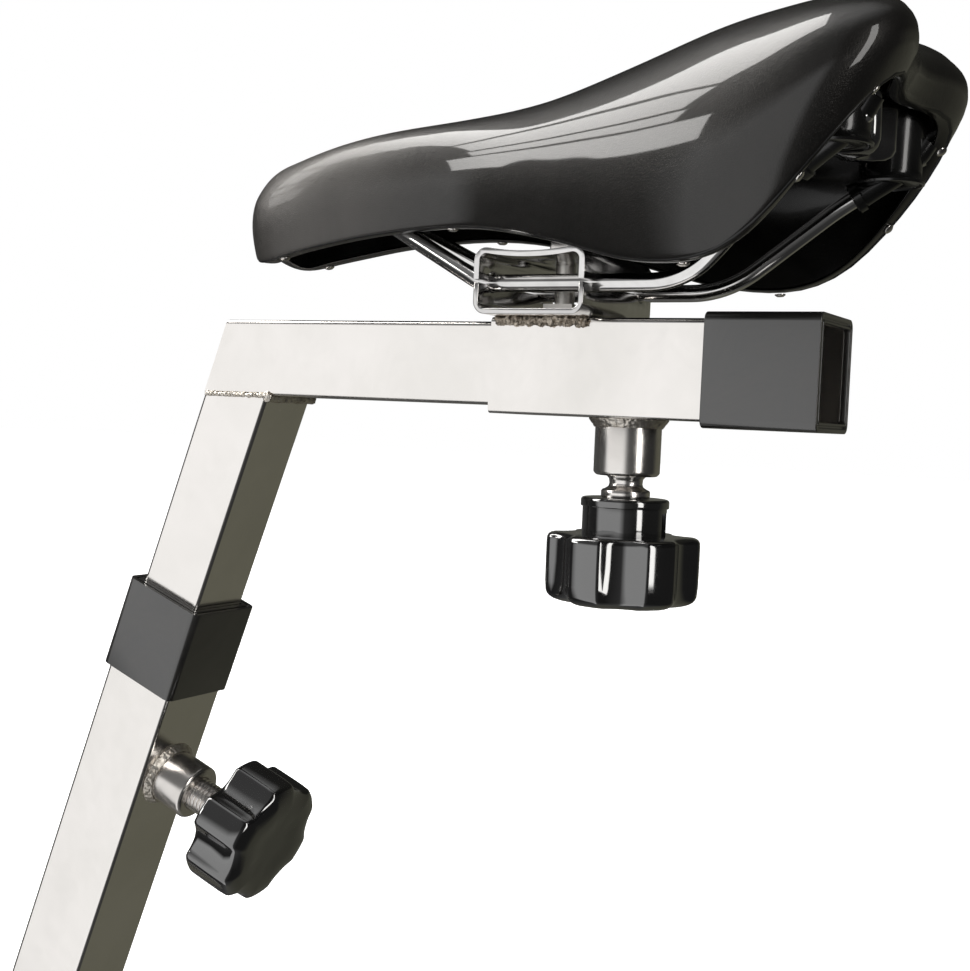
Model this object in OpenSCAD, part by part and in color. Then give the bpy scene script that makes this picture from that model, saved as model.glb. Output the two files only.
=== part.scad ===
// Exercise bike seat assembly: saddle, rail clamp, fore-and-aft slider, L-shaped seat post,
// top of the frame's seat tube and the two screw knobs that lock them. Millimetres, +Z up.
// Origin: centre of the frame tube's lower end. +X points to the back of the bike.

/* [Square tubes] */
// Outer tube, side
tube_w = 38; // [30:0.5:50]
// Sliding inner tube, side
post_w = 33; // [25:0.5:44]
// Wall of both tubes
wall = 1.5; // [1:0.1:3]
// Outside corner radius of both tubes
corner_r = 2; // [1:0.1:4]

/* [Frame tube and post] */
// Backward lean of the seat tube, degrees
lean = 20; // [10:1:30]
// Frame tube, lower end to upper end along its axis
frame_len = 350; // [250:1:500]
// Lower end to the post's top front corner, along the axis
corner_at = 480; // [400:1:600]
// Lower end of the post's leg, along the axis
leg_foot = 145; // [120:1:200]
// Post corner to the front of the slider
bar_reach = 134.7; // [100:0.1:200]
// Bar hidden in the slider
bar_in = 100; // [70:1:125]

/* [Collars] */
// Collar, outside width
collar_w = 42.8; // [40:0.1:50]
// Collar length
collar_len = 43.4; // [30:0.1:60]
// Lip closing over the tube's end
collar_lip = 2.5; // [1.5:0.1:5]

/* [Slider] */
// Slider length with its collar
slider_len = 132.9; // [100:0.1:180]
// Bar pushed up inside the slider by the lock screw
bar_lift = 0.95; // [0.5:0.05:0.98]
// Lock screw from the slider's front end
slider_screw_x = 52.8; // [40:0.1:70]

/* [Lock screws] */
// Height screw along the frame tube
height_screw_at = 266.4; // [220:0.1:300]
// Threaded boss radius
boss_r = 13; // [10:0.1:16]
// Screw radius
screw_r = 8; // [6:0.1:10]
// Thread pitch
pitch = 2; // [1:0.25:3]
// Knob radius over the lobes
knob_r = 30; // [25:0.5:36]
// Knob grip thickness
knob_h = 27; // [20:0.5:35]
// Flute depth
flute = 4.5; // [3:0.5:9]

/* [Rail clamp] */
// Clamp length along the bike
clamp_l = 47; // [40:0.5:60]
// Clamp width across the bike
clamp_w = 66; // [56:0.5:80]
// Clamp plate
clamp_t = 2.2; // [1.5:0.1:3]
// Front of the clamp from the slider's front end
clamp_x = -1; // [-10:0.5:10]

/* [Saddle] */
// Rail radius
rail_r = 3.5; // [3:0.1:4.5]
// Rail spacing, half
rail_y = 22; // [18:0.5:26]
// Rail centre above the slider's axis
rail_z = 31.75; // [28:0.05:36]
// Cover thickness
cover_t = 1.8; // [1:0.1:3]
// Shell thickness
shell_t = 3; // [2:0.1:5]

/* [Hidden] */
$fn = 64;
fit = 0.05;

// Derived positions
corner_x = corner_at * sin(lean) - post_w / 2 * cos(lean);
bar_top = corner_at * cos(lean) + post_w / 2 * sin(lean);
bar_low = bar_top - post_w;
slider_x = corner_x + bar_reach;
slider_z = bar_top - post_w / 2 - bar_lift;
half = tube_w / 2;

// ---------- shared shapes ----------

module rounded(w, h, r) {
    square([w, h - 2 * r], center = true);
    square([w - 2 * r, h], center = true);
    for (sx = [-1, 1], sy = [-1, 1])
        translate([sx * (w / 2 - r), sy * (h / 2 - r)]) circle(r);
}

module ring2d(w, r, hole, hole_r) {
    difference() {
        rounded(w, w, r);
        rounded(hole, hole, hole_r);
    }
}

module tube2d(w) {
    ring2d(w, corner_r, w - 2 * wall, corner_r - wall + 0.1);
}

// Along the leaning seat tube: local Z up the tube, local X to its back face
module in_leg(at = 0) {
    rotate([0, lean, 0]) translate([0, 0, at]) children();
}

module in_slider(x = 0, y = 0, z = 0) {
    translate([slider_x + x, y, slider_z + z]) children();
}

// A shape drawn along local Z is laid along +X
module along_x() {
    rotate([90, 0, 90]) children();
}

// Local Z becomes the screw axis pointing away from the tube
module height_axis() {
    in_leg(height_screw_at) rotate([0, 90, 0]) children();
}

module slider_axis() {
    in_slider(slider_screw_x) rotate([180, 0, 0]) children();
}

// Plastic end collar over a tube whose end is at z = 0, collar hanging down
module collar(opening, liner) {
    bore = tube_w + 2 * fit;
    difference() {
        translate([0, 0, collar_lip - collar_len])
            linear_extrude(collar_len) rounded(collar_w, collar_w, 3.5);
        translate([0, 0, -collar_len])
            linear_extrude(collar_len) rounded(bore, bore, corner_r);
        translate([0, 0, -1])
            linear_extrude(collar_lip + 2) rounded(opening, opening, 1.2);
        // shallow groove round the lip
        translate([0, 0, collar_lip - 0.8])
            linear_extrude(1) ring2d(tube_w + 1.2, 2.4, tube_w - 0.8, 1.6);
    }
    if (liner > 0)
        translate([0, 0, -liner])
            linear_extrude(liner + 0.5)
                ring2d(tube_w - 2 * wall - 2 * fit, 0.6, opening, 0.3);
}

module boss(len) {
    difference() {
        union() {
            cylinder(r = boss_r, h = len - 1.2);
            translate([0, 0, len - 1.2]) cylinder(r1 = boss_r, r2 = boss_r - 1.2, h = 1.2);
        }
        translate([0, 0, -1]) cylinder(r = screw_r + fit, h = len + 2);
    }
}

module boss_weld(h = 3.2) {
    difference() {
        cylinder(r1 = boss_r + 2.8, r2 = boss_r + 0.3, h = h);
        translate([0, 0, -1]) cylinder(r = boss_r, h = h + 2);
    }
}

// Threaded length between two heights, cut as close-set ridges
module thread(z0, z1, r) {
    turns = floor((z1 - z0) / pitch);
    deep = 0.9;
    rotate_extrude()
        polygon(concat(
            [[0, z0], [r - deep, z0]],
            [for (i = [0:turns - 1]) each [
                [r - deep, z0 + i * pitch + 0.2],
                [r, z0 + i * pitch + 0.8],
                [r, z0 + i * pitch + 1.2],
                [r - deep, z0 + i * pitch + 1.8]]],
            [[r - deep, z1], [0, z1]]));
}

module lobes(r) {
    cut_r = 14;
    difference() {
        circle(r);
        for (i = [0:5])
            rotate(30 + 60 * i) translate([r - flute + cut_r, 0]) circle(cut_r);
    }
}

// Grip with bevelled rims; its blind hole opens at z = 0
module grip(h, hole_r, hole_h) {
    difference() {
        intersection() {
            linear_extrude(h) lobes(knob_r);
            rotate_extrude()
                polygon([[0, 0], [knob_r - 1.6, 0], [knob_r, 1.6], [knob_r, h - 4],
                         [knob_r - 2.2, h - 1.4], [knob_r - 7, h], [0, h]]);
        }
        translate([0, 0, -1]) cylinder(r = hole_r, h = hole_h + 1);
    }
}

// ---------- frame ----------

module frame_tube() color([0.80, 0.78, 0.74]) difference() {
    in_leg(-40) linear_extrude(frame_len + 40) tube2d(tube_w);
    translate([-100, -50, -100]) cube([200, 100, 100]);
    height_axis() cylinder(r = 7, h = 40);
}

module frame_collar() color([0.06, 0.06, 0.06])
    in_leg(frame_len) collar(post_w + 0.3, 36);

module height_boss() color([0.78, 0.76, 0.72])
    height_axis() translate([0, 0, half]) boss(20);

module height_boss_weld() color([0.66, 0.60, 0.52])
    height_axis() translate([0, 0, half]) boss_weld();

// ---------- L-shaped post ----------

module leg_solid(w) {
    in_leg(leg_foot) linear_extrude(corner_at) rounded(w, w, corner_r);
}

module bar_solid() {
    translate([corner_x, 0, bar_top - post_w / 2])
        along_x() linear_extrude(bar_reach + bar_in) rounded(post_w, post_w, corner_r);
}

// Space ahead of a plane parallel to the leg's front face
module ahead(back) {
    in_leg(corner_at - 100)
        translate([-150 - post_w / 2 + back, -50, 0]) cube([150, 100, 200]);
}

module post_leg() color([0.80, 0.78, 0.74]) difference() {
    in_leg(leg_foot) linear_extrude(corner_at - leg_foot + 20) tube2d(post_w);
    translate([0, -50, bar_low]) cube([300, 100, 120]);
}

module post_bar() color([0.80, 0.78, 0.74]) difference() {
    translate([corner_x - 20, 0, bar_top - post_w / 2])
        along_x() linear_extrude(bar_reach + bar_in + 20) tube2d(post_w);
    ahead(wall);
}

module post_cap() color([0.78, 0.76, 0.72]) intersection() {
    translate([corner_x - 20, 0, bar_top - post_w / 2])
        along_x() linear_extrude(60) rounded(post_w, post_w, corner_r);
    difference() {
        ahead(wall);
        ahead(0);
    }
}

module post_weld() color([0.70, 0.63, 0.52]) {
    front = bar_low * tan(lean) - post_w / 2 / cos(lean);
    back = bar_low * tan(lean) + post_w / 2 / cos(lean);
    difference() {
        union() {
            for (s = [-1, 1])
                translate([front + 1.5, s * post_w / 2, bar_low])
                    rotate([0, 90, 0]) cylinder(r = 1, h = back - front);
            translate([back + 0.4, post_w / 2 + 0.6, bar_low - 0.4])
                rotate([90, 0, 0]) cylinder(r = 2.4, h = post_w + 1.2);
        }
        leg_solid(post_w);
        translate([front - 5, -post_w / 2, bar_low]) cube([60, post_w, 20]);
    }
}

// ---------- height lock ----------

pad_h = 3.6;
height_tip = post_w / 2 + fit;
slider_tip = post_w / 2 - bar_lift + fit;

// Swivel pad that presses on the inner tube, with its spigot in the screw's end
module pad() {
    cylinder(r1 = 6, r2 = 6.5, h = 0.5);
    translate([0, 0, 0.5]) cylinder(r = 6.5, h = pad_h - 0.5);
    translate([0, 0, pad_h - 0.5]) cylinder(r = 3, h = 5);
}

module height_pad() color([0.72, 0.58, 0.30])
    height_axis() translate([0, 0, height_tip]) pad();

module height_screw() color([0.78, 0.76, 0.72])
    height_axis() difference() {
        union() {
            thread(height_tip + pad_h + fit, 60, screw_r);
            translate([0, 0, 60]) cylinder(r = screw_r - 0.4, h = 18);
        }
        translate([0, 0, height_tip]) cylinder(r = 3 + fit, h = pad_h + 5);
    }

module height_knob() color([0.03, 0.03, 0.03])
    height_axis() translate([0, 0, 60]) rotate(188) grip(knob_h, screw_r - 0.4, 18);

// ---------- slider ----------

module slider_tube() color([0.82, 0.80, 0.76]) difference() {
    in_slider() along_x() linear_extrude(slider_len - collar_lip) tube2d(tube_w);
    slider_axis() cylinder(r = 7, h = 40);
}

module slider_collar() color([0.06, 0.06, 0.06])
    in_slider(slider_len - collar_lip) along_x() collar(post_w + 2.2, 0);

module slider_boss() color([0.78, 0.76, 0.72])
    slider_axis() translate([0, 0, half]) boss(22.3);

module slider_boss_weld() color([0.66, 0.60, 0.52])
    slider_axis() translate([0, 0, half]) boss_weld(3.6);

// ---------- rail clamp ----------

clamp_h = 2 * (rail_z - half);
bow_r = 108;
bow = 1.5;

// End view of one folded plate, mouth at y = 0, closed side up
module fold2d(sag) {
    h = clamp_h / 2;
    difference() {
        rounded(clamp_l, 2 * h, 5);
        difference() {
            rounded(clamp_l - 2 * clamp_t, 2 * (h - clamp_t), 5 - clamp_t);
            if (sag) translate([0, h - bow - clamp_t + bow_r + clamp_t]) circle(bow_r + clamp_t, $fn = 180);
        }
        if (sag) translate([0, h - bow + bow_r]) circle(bow_r, $fn = 180);
        translate([-clamp_l, -2 * h]) square([2 * clamp_l, 2 * h + 0.6]);
    }
}

module fold(sag) {
    rotate([90, 0, 0]) linear_extrude(clamp_w, center = true) fold2d(sag);
}

// Grooves for the rails; their front halves are eased up and inwards where the rails start to bend
module rail_notches(rise) {
    relief = 0.35;
    for (s = [-1, 1]) {
        translate([-clamp_l, s * rail_y, 0])
            rotate([0, 90, 0]) cylinder(r = rail_r + fit, h = 2 * clamp_l);
        for (z = [0, rise])
            translate([-clamp_l, s * (rail_y - relief), z])
                rotate([0, 90, 0]) cylinder(r = rail_r + fit, h = clamp_l);
        if (rise > 0)
            translate([-clamp_l, s * (rail_y - relief / 2) - rail_r - relief / 2 - fit, 0])
                cube([clamp_l, 2 * (rail_r + fit) + relief, rise]);
    }
}

clamp_mid = clamp_x + clamp_l / 2;

module clamp_bridge() color([0.84, 0.83, 0.81])
    in_slider(clamp_mid, 0, rail_z) difference() {
        fold(true);
        rail_notches(1.2);
        cylinder(r = 4.3, h = 30);
    }

module clamp_cradle() color([0.84, 0.83, 0.81])
    in_slider(clamp_mid, 0, rail_z) difference() {
        mirror([0, 0, 1]) fold(false);
        rail_notches(0);
    }

module cradle_weld() color([0.45, 0.38, 0.30])
    in_slider(clamp_mid) difference() {
        for (s = [-1, 1])
            translate([-clamp_l / 2 + 4, s * (half + 0.4), half - 1.4])
                rotate([0, 90, 0]) cylinder(r = 2, h = clamp_l - 8);
        translate([-50, -half, -half]) cube([100, tube_w, tube_w]);
        translate([-50, -50, half]) cube([100, 100, 10]);
    }

floor_z = half + clamp_t;
seat_z = rail_z + clamp_h / 2 - bow + 0.31;

module clamp_bolt() color([0.72, 0.70, 0.66])
    in_slider(clamp_mid) {
        translate([0, 0, floor_z]) linear_extrude(4) square(12.6, center = true);
        translate([0, 0, floor_z]) cylinder(r = 3.95, h = seat_z + 12 - floor_z);
    }

module clamp_washer() color([0.75, 0.74, 0.72])
    in_slider(clamp_mid, 0, seat_z) difference() {
        cylinder(r = 8, h = 1.5);
        translate([0, 0, -1]) cylinder(r = 4.2, h = 4);
    }

module clamp_nut() color([0.75, 0.74, 0.72])
    in_slider(clamp_mid, 0, seat_z + 1.5) difference() {
        intersection() {
            linear_extrude(6.5) circle(13 / 2 / cos(30), $fn = 6);
            union() {
                cylinder(r = 8.2, h = 5.6);
                translate([0, 0, 5.6]) cylinder(r1 = 7.5, r2 = 6.4, h = 0.9);
            }
        }
        translate([0, 0, -1]) cylinder(r = 4, h = 9);
    }

// ---------- slider lock ----------

boss_end = half + 22.3;
flange_z = 46.6;
hub_z = flange_z + 7;
grip_z = hub_z + 11;

module slider_pad() color([0.72, 0.58, 0.30])
    slider_axis() translate([0, 0, slider_tip]) pad();

module slider_screw() color([0.80, 0.78, 0.75])
    slider_axis() difference() {
        union() {
            thread(slider_tip + pad_h + fit, boss_end - 4, screw_r);
            translate([0, 0, boss_end - 4]) cylinder(r = 6.9, h = flange_z - boss_end + 4);
            translate([0, 0, flange_z]) cylinder(r1 = 9, r2 = 9.6, h = 0.8);
            translate([0, 0, flange_z + 0.8]) cylinder(r = 9.6, h = 2.6);
            translate([0, 0, flange_z + 3.4]) cylinder(r = 5, h = 30);
        }
        translate([0, 0, slider_tip]) cylinder(r = 3 + fit, h = pad_h + 5);
    }

module slider_lock_ring() color([0.10, 0.10, 0.10])
    slider_axis() translate([0, 0, flange_z + 3.4]) difference() {
        union() {
            cylinder(r1 = 16.6, r2 = 17.3, h = 0.7);
            translate([0, 0, 0.7]) cylinder(r = 17.3, h = 2.9);
        }
        translate([0, 0, -1]) cylinder(r = 5, h = 6);
    }

module slider_knob_hub() color([0.04, 0.04, 0.04])
    slider_axis() translate([0, 0, hub_z]) difference() {
        cylinder(r = 16.5, h = grip_z - hub_z);
        translate([0, 0, -1]) cylinder(r = 5, h = 20);
        // window cut in the hub's back
        rotate(-12) translate([11.5, -5, 1.5]) cube([8, 10, 12]);
    }

module slider_knob() color([0.03, 0.03, 0.03])
    slider_axis() translate([0, 0, grip_z]) rotate(-23) grip(knob_h, 5, 10 + flange_z + 23.4 - grip_z);

// ---------- saddle surfaces ----------

// Smooth curve through key points
function seg(k, x, i = 0) = (i >= len(k) - 2 || x < k[i + 1][0]) ? i : seg(k, x, i + 1);
function slope(k, i) =
    let (a = max(i - 1, 0), b = min(i + 1, len(k) - 1))
    (k[b][1] - k[a][1]) / (k[b][0] - k[a][0]);
function curve(k, x0) =
    let (x = min(max(x0, k[0][0]), k[len(k) - 1][0]), i = seg(k, x),
         h = k[i + 1][0] - k[i][0], t = (x - k[i][0]) / h)
    (2 * t * t * t - 3 * t * t + 1) * k[i][1] + (t * t * t - 2 * t * t + t) * h * slope(k, i)
    + (3 * t * t - 2 * t * t * t) * k[i + 1][1] + (t * t * t - t * t) * h * slope(k, i + 1);

// Outline of the lower edge from the nose tip (0) to the tail notch (1)
edge_x = [[0, -128.5], [0.06, -126], [0.14, -116], [0.25, -92], [0.36, -55], [0.47, -10],
          [0.58, 35], [0.68, 75], [0.78, 112], [0.86, 144], [0.92, 163], [0.96, 167], [1, 153]];
edge_y = [[0, 0], [0.06, 13], [0.14, 20], [0.25, 24], [0.36, 25], [0.47, 29],
          [0.58, 44], [0.68, 59], [0.78, 70], [0.86, 72], [0.92, 60], [0.96, 39], [1, 0]];
edge_z = [[0, 49], [0.06, 45], [0.14, 43.5], [0.25, 48], [0.36, 53.5], [0.47, 55],
          [0.58, 47], [0.68, 37], [0.78, 41], [0.86, 71], [0.92, 94], [0.96, 100], [1, 98]];
// Height of the padding's centre line, and of the shell's underside
top_line = [[-128.5, 62], [-124, 75], [-115, 84], [-92, 92], [-60, 98], [-20, 101],
            [20, 105], [60, 115], [100, 126], [130, 129], [150, 126], [167, 116]];
roof_line = [[-115, 60], [-78, 77], [-40, 81], [0, 83], [40, 88], [80, 96], [120, 103], [150, 104]];
// Depth of the centre channel
channel = [[-128.5, 0], [50, 0], [100, 4], [140, 7], [167, 8]];
spine_a = -104;
spine_b = 122;
bulge = 2.6;
side_share = 0.62;
tuck = 0.10;

function edge(v) = [curve(edge_x, v), curve(edge_y, v), curve(edge_z, v)];

// One point of a skin: v round the outline, p outwards, q downwards, all 0 to 1
function skin_pt(v, side, p, q, inset, keys, drop, dip) =
    let (e = edge(v), cx = min(max(e[0], spine_a), spine_b),
         dx = e[0] - cx, d = max(norm([dx, e[1]]), 0.01),
         f = max(d - inset, 0.5) / d,
         x = cx + p * dx * f, y = p * e[1] * f,
         top = curve(keys, cx + 0.55 * p * dx * f) - drop,
         groove = dip * curve(channel, x) * exp(-y * y / 260))
    [x, side * y, top - (top - e[2]) * q - groove * (1 - q)];

function pq(s) = s <= 1
    ? [pow(sin(90 * s), 2 / bulge), side_share * (1 - pow(cos(90 * s), 2 / bulge))]
    : [1 - tuck * pow(s - 1, 1.6), side_share + (1 - side_share) * (s - 1)];

half_ring = 30;
ring_n = 2 * half_ring;
function loop(s, inset, keys, drop, dip, shift = 0) = [
    for (j = [0:ring_n - 1])
        let (right = j > half_ring, v = (right ? ring_n - j : j) / half_ring, w = pq(s))
        skin_pt(v, right ? 1 : -1, w[0], w[1], inset, keys, drop, dip) + [0, 0, shift]];

levels = [0.05, 0.14, 0.24, 0.35, 0.46, 0.58, 0.70, 0.81, 0.91, 1, 1.25, 1.5, 1.75, 2];
function skin(inset, keys, drop, dip) = [for (s = levels) loop(s, inset, keys, drop, dip)];
function backwards(a) = [for (i = [len(a) - 1:-1:0]) a[i]];

// Closed solid with an outer and an inner skin, both listed from the top down, and a rim between
// them. Both skins split their quads along the same diagonals, so that neighbours meet exactly.
module lofted(outer, rim, inner) {
    loops = concat(outer, rim, backwards(inner));
    turn = len(outer) + len(rim);
    last = (len(loops) - 1) * ring_n;
    pts = [for (l = loops) each l];
    wrap = [for (i = [0:len(loops) - 2], j = [0:ring_n - 1])
        let (a = i * ring_n + j, b = i * ring_n + (j + 1) % ring_n)
        each i < turn ? [[a, b, a + ring_n], [b, b + ring_n, a + ring_n]]
                      : [[a, b, b + ring_n], [a, b + ring_n, a + ring_n]]];
    // the two sides are bridged rung by rung
    rungs = [for (j = [1:half_ring - 2])
        let (k = ring_n - j)
        each [[j, j + 1, k], [j + 1, k - 1, k]]];
    tips = [[0, 1, ring_n - 1], [half_ring - 1, half_ring, half_ring + 1]];
    cap = concat(rungs, tips);
    polyhedron(pts, concat(wrap, [for (f = cap) [f[0], f[2], f[1]]],
                           [for (f = cap) [f[0] + last, f[1] + last, f[2] + last]]),
               convexity = 8);
}

shell_in = 8.6;
shell_out = shell_in - shell_t;
roof_up = -shell_t;
lip_t = 1.5;

lip_gap = 0.45;

// Everything between the outer skin and the shell's underside
module saddle_body() {
    lofted(skin(0, top_line, 0, 1),
           [loop(2, 0.4, top_line, 0, 1, -lip_t - 0.2),
            loop(2, shell_in + 0.3, top_line, 0, 1, -lip_t - 0.2)],
           skin(shell_in, roof_line, 0, 0));
}

module saddle_cover() color([0.05, 0.05, 0.05]) in_slider()
    lofted(skin(0, top_line, 0, 1),
           [loop(2, 0.6, top_line, 0, 1, -lip_t), loop(2, shell_in, top_line, 0, 1, -lip_t),
            loop(2, shell_in, top_line, 0, 1, -lip_gap), loop(2, shell_out, top_line, 0, 1, -lip_gap),
            loop(2, cover_t, top_line, 0, 1, -lip_gap)],
           skin(cover_t, top_line, cover_t, 1));

module saddle_foam() color([0.35, 0.35, 0.33]) in_slider()
    lofted(skin(cover_t, top_line, cover_t, 1), [], skin(shell_out, roof_line, roof_up, 0));

module saddle_shell() color([0.02, 0.02, 0.02]) in_slider()
    lofted(skin(shell_out, roof_line, roof_up, 0), [], skin(shell_in, roof_line, 0, 0));

// ---------- rails ----------

nose_end = [-78, 5.5, 70];
bend_front = [-3, rail_y, rail_z];
bend_back = [82, rail_y, rail_z];
bend_top = [120, 36.5, 65];
tail_end = [150, 42, 85];

function unit(a) = a / norm(a);
function toward(a, b, d) = a + unit(b - a) * d;
function bend(a, c, b, d, n) = [
    for (i = [0:n]) let (t = i / n)
        (1 - t) * (1 - t) * toward(c, a, d) + 2 * t * (1 - t) * c + t * t * toward(c, b, d)];
rail_path = concat([nose_end],
                   bend(nose_end, bend_front, bend_back, 6, 6),
                   bend(bend_front, bend_back, bend_top, 15, 9),
                   bend(bend_back, bend_top, tail_end, 6, 4),
                   [tail_end]);

module swept(path, r, n) {
    m = len(path);
    pts = [for (i = [0:m - 1])
        let (t = unit(path[min(i + 1, m - 1)] - path[max(i - 1, 0)]),
             u = unit(cross(t, [0, 1, 0])), w = cross(t, u))
        each [for (k = [0:n - 1]) path[i] + r * (u * cos(360 * k / n) + w * sin(360 * k / n))]];
    wrap = [for (i = [0:m - 2], k = [0:n - 1])
        let (a = i * n + k, b = i * n + (k + 1) % n)
        each [[a, a + n, b], [b, a + n, b + n]]];
    polyhedron(pts, concat(wrap, [[for (k = [0:n - 1]) k]],
                           [[for (k = [n - 1:-1:0]) (m - 1) * n + k]]), convexity = 4);
}

module rail_left() color([0.80, 0.79, 0.77])
    in_slider() mirror([0, 1, 0]) swept(rail_path, rail_r, 24);

module rail_right() color([0.80, 0.79, 0.77])
    in_slider() swept(rail_path, rail_r, 24);

// Local Z along the rail's last stretch, starting at the top bend
module on_tail(side) {
    run = tail_end - bend_top;
    translate([bend_top[0], side * bend_top[1], bend_top[2]])
        rotate([0, 0, side * atan2(run[1], run[0])])
            rotate([0, 90 - asin(run[2] / norm(run)), 0]) children();
}

tail_run = norm(tail_end - bend_top);

module rail_sleeves() color([0.03, 0.03, 0.03]) in_slider()
    for (s = [-1, 1]) on_tail(s) difference() {
        union() {
            translate([0, 0, 7]) cylinder(r = 6.2, h = 4);
            translate([0, 0, 11]) cylinder(r = 5, h = tail_run - 12);
        }
        cylinder(r = rail_r + fit, h = 60);
    }

// Moulded pockets that carry the rails' back ends
module rear_sockets() color([0.03, 0.03, 0.03]) in_slider() difference() {
    for (s = [-1, 1])
        translate([139, s * 40, 74]) cylinder(r = 12, h = 40);
    for (s = [-1, 1])
        on_tail(s) cylinder(r = 5 + fit, h = tail_run + 0.5);
    saddle_body();
}

module nose_socket() color([0.03, 0.03, 0.03]) in_slider() difference() {
    translate([-88, -13, 62]) cube([20, 26, 24]);
    for (s = [-1, 1])
        scale([1, s, 1]) hull() {
            translate(nose_end) sphere(rail_r + 0.3, $fn = 24);
            translate(toward(nose_end, bend_front, 40)) sphere(rail_r + 0.3, $fn = 24);
        }
    saddle_body();
}

// Glossy web between the two wings, with a channel down its back
module tail_bridge() color([0.02, 0.02, 0.02]) in_slider() difference() {
    translate([126, -17, 78]) cube([24, 34, 24]);
    translate([156, 0, 60]) cylinder(r = 13, h = 60);
    saddle_body();
}

// Rivets that hold the tucked edge, square to the lip they sit on
function lip_pt(v, side, inset) = skin_pt(v, side, 1 - tuck, 1, inset, top_line, 0, 0) - [0, 0, lip_t];

module cover_rivets() color([0.75, 0.75, 0.74]) in_slider()
    for (s = [-1, 1], v = [0.2, 0.45, 0.73, 0.84, 0.91]) {
        n = s * unit(cross(lip_pt(v + 0.01, s, 4) - lip_pt(v - 0.01, s, 4),
                           lip_pt(v, s, 6) - lip_pt(v, s, 2)));
        translate(lip_pt(v, s, 4.2) + 0.12 * n)
            rotate([0, acos(n[2]), atan2(n[1], n[0])]) {
                cylinder(r = 2.2, h = 0.5);
                translate([0, 0, 0.5]) cylinder(r1 = 2.2, r2 = 1.3, h = 0.6);
            }
    }

// ---------- output ----------

frame_tube();
frame_collar();
height_boss();
height_boss_weld();
post_leg();
post_bar();
post_cap();
post_weld();
height_pad();
height_screw();
height_knob();
slider_tube();
slider_collar();
slider_boss();
slider_boss_weld();
clamp_cradle();
cradle_weld();
clamp_bridge();
clamp_bolt();
clamp_washer();
clamp_nut();
slider_pad();
slider_screw();
slider_lock_ring();
slider_knob_hub();
slider_knob();
rail_left();
rail_right();
rail_sleeves();
saddle_shell();
nose_socket();
rear_sockets();
tail_bridge();
saddle_foam();
saddle_cover();
cover_rivets();
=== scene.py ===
"""Looks of the exercise bike seat assembly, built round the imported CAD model.

Metres, +Z up, +X to the back of the bike.
"""
import math

import bmesh
import bpy
from mathutils import Matrix, Vector, noise
from mathutils.bvhtree import BVHTree


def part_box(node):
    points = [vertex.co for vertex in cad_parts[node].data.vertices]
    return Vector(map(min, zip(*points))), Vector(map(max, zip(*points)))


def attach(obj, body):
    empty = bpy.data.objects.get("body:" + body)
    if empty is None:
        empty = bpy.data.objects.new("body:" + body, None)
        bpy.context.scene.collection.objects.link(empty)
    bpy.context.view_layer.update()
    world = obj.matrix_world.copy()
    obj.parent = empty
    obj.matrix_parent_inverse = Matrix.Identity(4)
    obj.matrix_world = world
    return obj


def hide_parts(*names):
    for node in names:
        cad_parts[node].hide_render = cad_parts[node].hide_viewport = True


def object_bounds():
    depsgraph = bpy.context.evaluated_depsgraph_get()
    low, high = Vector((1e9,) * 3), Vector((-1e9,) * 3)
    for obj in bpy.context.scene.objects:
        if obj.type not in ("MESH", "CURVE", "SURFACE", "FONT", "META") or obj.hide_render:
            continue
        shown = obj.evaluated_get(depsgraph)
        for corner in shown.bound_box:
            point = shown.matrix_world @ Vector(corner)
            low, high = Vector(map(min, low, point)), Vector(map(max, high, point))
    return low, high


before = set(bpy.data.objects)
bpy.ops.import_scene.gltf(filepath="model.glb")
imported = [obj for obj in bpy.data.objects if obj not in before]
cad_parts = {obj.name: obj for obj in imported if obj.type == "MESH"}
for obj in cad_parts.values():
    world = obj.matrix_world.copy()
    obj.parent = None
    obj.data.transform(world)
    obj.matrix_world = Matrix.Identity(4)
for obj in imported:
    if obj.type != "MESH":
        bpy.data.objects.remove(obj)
cad_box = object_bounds()
scene = bpy.context.scene
MM = 0.001
SLIDER_LOW, SLIDER_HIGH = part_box("slider_tube")
# Front end of the slider on its own axis, where the part measures the saddle from
SEAT = Vector((SLIDER_LOW[0], 0, (SLIDER_LOW[2] + SLIDER_HIGH[2]) / 2))


# ---------- mesh helpers ----------

def add_object(name, mesh):
    obj = bpy.data.objects.new(name, mesh)
    scene.collection.objects.link(obj)
    return obj


def from_bmesh(name, bm):
    bmesh.ops.recalc_face_normals(bm, faces=bm.faces)
    mesh = bpy.data.meshes.new(name)
    bm.to_mesh(mesh)
    bm.free()
    return add_object(name, mesh)


def node_bmesh(node):
    """The CAD node's mesh as one welded surface."""
    bm = bmesh.new()
    bm.from_mesh(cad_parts[node].data)
    bmesh.ops.remove_doubles(bm, verts=bm.verts, dist=0.004 * MM)
    return bm


def shade(obj, sharp_angle=35):
    for face in obj.data.polygons:
        face.use_smooth = True
    obj.data.set_sharp_from_angle(angle=math.radians(sharp_angle))


def bake_modifiers(obj):
    """Applies every modifier, so that the final mesh is plain geometry."""
    depsgraph = bpy.context.evaluated_depsgraph_get()
    mesh = bpy.data.meshes.new_from_object(obj.evaluated_get(depsgraph))
    old = obj.data
    obj.modifiers.clear()
    obj.data = mesh
    bpy.data.meshes.remove(old)


def stand_for(obj, body, nodes):
    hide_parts(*nodes)
    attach(obj, body)


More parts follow.
